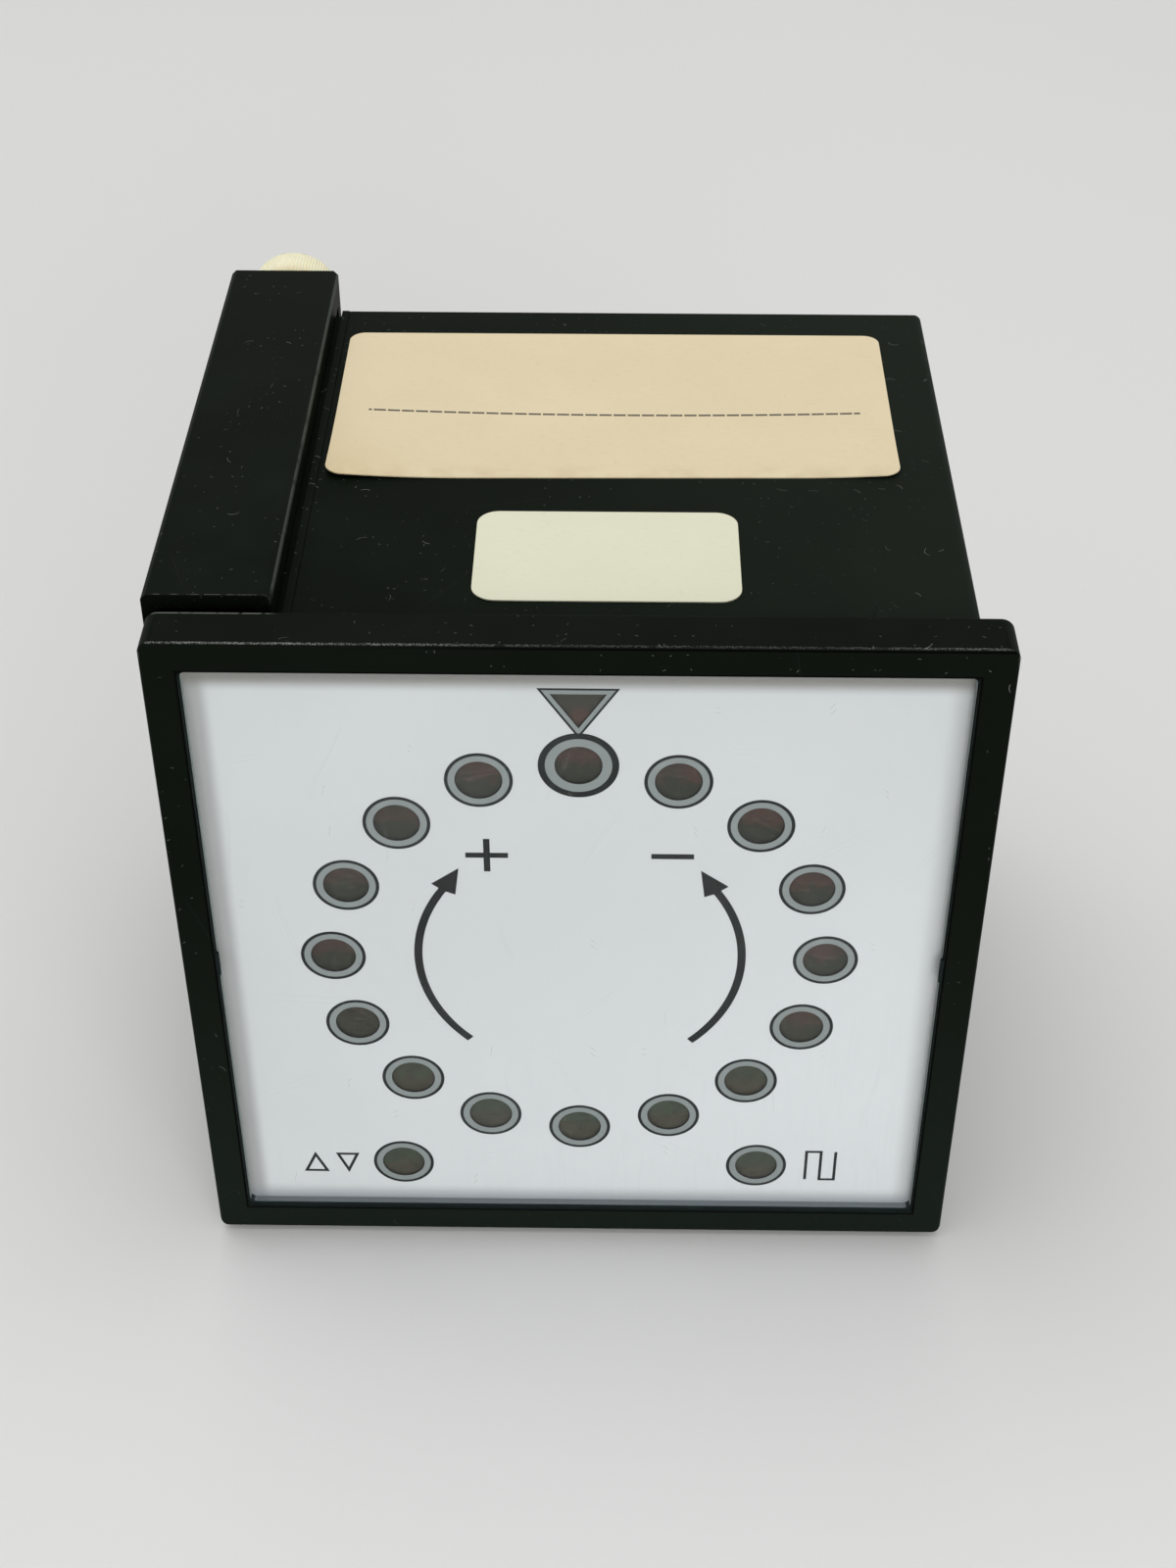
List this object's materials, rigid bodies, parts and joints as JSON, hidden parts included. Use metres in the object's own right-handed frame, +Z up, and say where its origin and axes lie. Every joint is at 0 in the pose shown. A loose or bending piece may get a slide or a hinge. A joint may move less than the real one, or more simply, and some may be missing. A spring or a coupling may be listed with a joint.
{
  "type": "synchroscope",
  "caption": "Square panel synchroscope with a ring of lights behind a clear window, a deep case held by two sliding corner clamps with thumbscrews, and rear screw terminals.",
  "frame": {"origin": "on the axis of the case, in the plane where the back of the bezel meets the panel", "axes": "+X to the right seen from the front, +Y back into the panel along the case, +Z up"},
  "size_m": [0.0974, 0.0948, 0.0974],
  "materials": {
    "black_plastic": "fine moulded texture, satin, dusty, worn edges",
    "clamp_plastic": "glass-filled moulding, satin, dusty",
    "terminal_black": "moulded, satin",
    "clear_window": "clear, fine dust and hairline scratches",
    "dial_grey": "printed pale grey with darker grey rings",
    "smoked_plastic": "smoked translucent sheet",
    "white_plastic": "white moulding",
    "red_light": "tinted epoxy lens",
    "green_light": "tinted epoxy lens",
    "circuit_board": "glass-epoxy board with green mask",
    "chip_black": "moulded epoxy",
    "transformer_blue": "potted moulded shell",
    "capacitor_sleeve": "shrunk sleeve",
    "capacitor_yellow": "moulded box",
    "resistor_ceramic": "ceramic body",
    "steel": "zinc plated",
    "brass": "plain brass",
    "terminal_brass": "nickel-flashed brass",
    "natural_nylon": "natural nylon, slightly waxy",
    "cream_paper": "aged cream paper label",
    "white_paper": "off-white paper label"
  },
  "bodies": {
    "instrument": {"bezel": "black_plastic", "front_window": "clear_window", "dial_plate": "dial_grey", "smoked_filter": "smoked_plastic", "light_box": "white_plastic", "ring_leds": "red_light", "pointer_led": "red_light", "limit_leds": "green_light", "display_board": "circuit_board", "display_screws": "steel", "led_drivers": "chip_black", "board_header": "chip_black", "main_board": "circuit_board", "bus_transformer": "transformer_blue", "generator_transformer": "transformer_blue", "controller_chip": "chip_black", "reservoir_capacitors": "capacitor_sleeve", "film_capacitors": "capacitor_yellow", "dropper_resistors": "resistor_ceramic", "bridge_rectifiers": "chip_black", "case": "black_plastic", "rear_cover": "terminal_black", "cover_screws": "steel", "terminal_nuts": "brass", "rating_label": "cream_paper", "small_label": "white_paper"},
    "upper_clamp": {"clamp_upper": "clamp_plastic"},
    "lower_clamp": {"clamp_lower": "clamp_plastic"},
    "upper_thumbscrew": {"thumbscrew_upper": "natural_nylon"},
    "lower_thumbscrew": {"thumbscrew_lower": "natural_nylon"},
    "wire_clamp_1": {"wire_clamp_1": "steel"},
    "terminal_screw_1": {"terminal_screw_1": "terminal_brass"},
    "wire_clamp_2": {"wire_clamp_2": "steel"},
    "terminal_screw_2": {"terminal_screw_2": "terminal_brass"},
    "wire_clamp_3": {"wire_clamp_3": "steel"},
    "terminal_screw_3": {"terminal_screw_3": "terminal_brass"},
    "wire_clamp_4": {"wire_clamp_4": "steel"},
    "terminal_screw_4": {"terminal_screw_4": "terminal_brass"}
  },
  "joints": [
    {"name": "upper_clamp_slide", "type": "slide", "parent": "instrument", "child": "upper_clamp", "axis": [0, 1, 0], "range_m": [-0.0015, 0.0065]},
    {"name": "upper_thumbscrew_turn", "type": "hinge", "parent": "upper_clamp", "child": "upper_thumbscrew", "pos_m": [-0.0413, 0.0805, 0.0413], "axis": [0, 1, 0], "range_deg": [-772, 3343]},
    {"name": "lower_clamp_slide", "type": "slide", "parent": "instrument", "child": "lower_clamp", "axis": [0, 1, 0], "range_m": [-0.0015, 0.0065]},
    {"name": "lower_thumbscrew_turn", "type": "hinge", "parent": "lower_clamp", "child": "lower_thumbscrew", "pos_m": [0.0413, 0.0805, -0.0413], "axis": [0, 1, 0], "range_deg": [-772, 3343]},
    {"name": "wire_clamp_1_lift", "type": "slide", "parent": "instrument", "child": "wire_clamp_1", "axis": [0, 1, 0], "range_m": [0, 0.003]},
    {"name": "terminal_screw_1_turn", "type": "hinge", "parent": "wire_clamp_1", "child": "terminal_screw_1", "pos_m": [-0.02325, 0.0801, 0.002], "axis": [0, 1, 0], "range_deg": [0, 1543]},
    {"name": "wire_clamp_2_lift", "type": "slide", "parent": "instrument", "child": "wire_clamp_2", "axis": [0, 1, 0], "range_m": [0, 0.003]},
    {"name": "terminal_screw_2_turn", "type": "hinge", "parent": "wire_clamp_2", "child": "terminal_screw_2", "pos_m": [-0.00775, 0.0801, 0.002], "axis": [0, 1, 0], "range_deg": [0, 1543]},
    {"name": "wire_clamp_3_lift", "type": "slide", "parent": "instrument", "child": "wire_clamp_3", "axis": [0, 1, 0], "range_m": [0, 0.003]},
    {"name": "terminal_screw_3_turn", "type": "hinge", "parent": "wire_clamp_3", "child": "terminal_screw_3", "pos_m": [0.00775, 0.0801, 0.002], "axis": [0, 1, 0], "range_deg": [0, 1543]},
    {"name": "wire_clamp_4_lift", "type": "slide", "parent": "instrument", "child": "wire_clamp_4", "axis": [0, 1, 0], "range_m": [0, 0.003]},
    {"name": "terminal_screw_4_turn", "type": "hinge", "parent": "wire_clamp_4", "child": "terminal_screw_4", "pos_m": [0.02325, 0.0801, 0.002], "axis": [0, 1, 0], "range_deg": [0, 1543]}
  ],
  "couplings": [
    {"joint": "upper_thumbscrew_turn", "follows": "upper_clamp_slide", "rad_per_m": 8976},
    {"joint": "lower_thumbscrew_turn", "follows": "lower_clamp_slide", "rad_per_m": 8976},
    {"joint": "terminal_screw_1_turn", "follows": "wire_clamp_1_lift", "rad_per_m": 8976},
    {"joint": "terminal_screw_2_turn", "follows": "wire_clamp_2_lift", "rad_per_m": 8976},
    {"joint": "terminal_screw_3_turn", "follows": "wire_clamp_3_lift", "rad_per_m": 8976},
    {"joint": "terminal_screw_4_turn", "follows": "wire_clamp_4_lift", "rad_per_m": 8976}
  ]
}
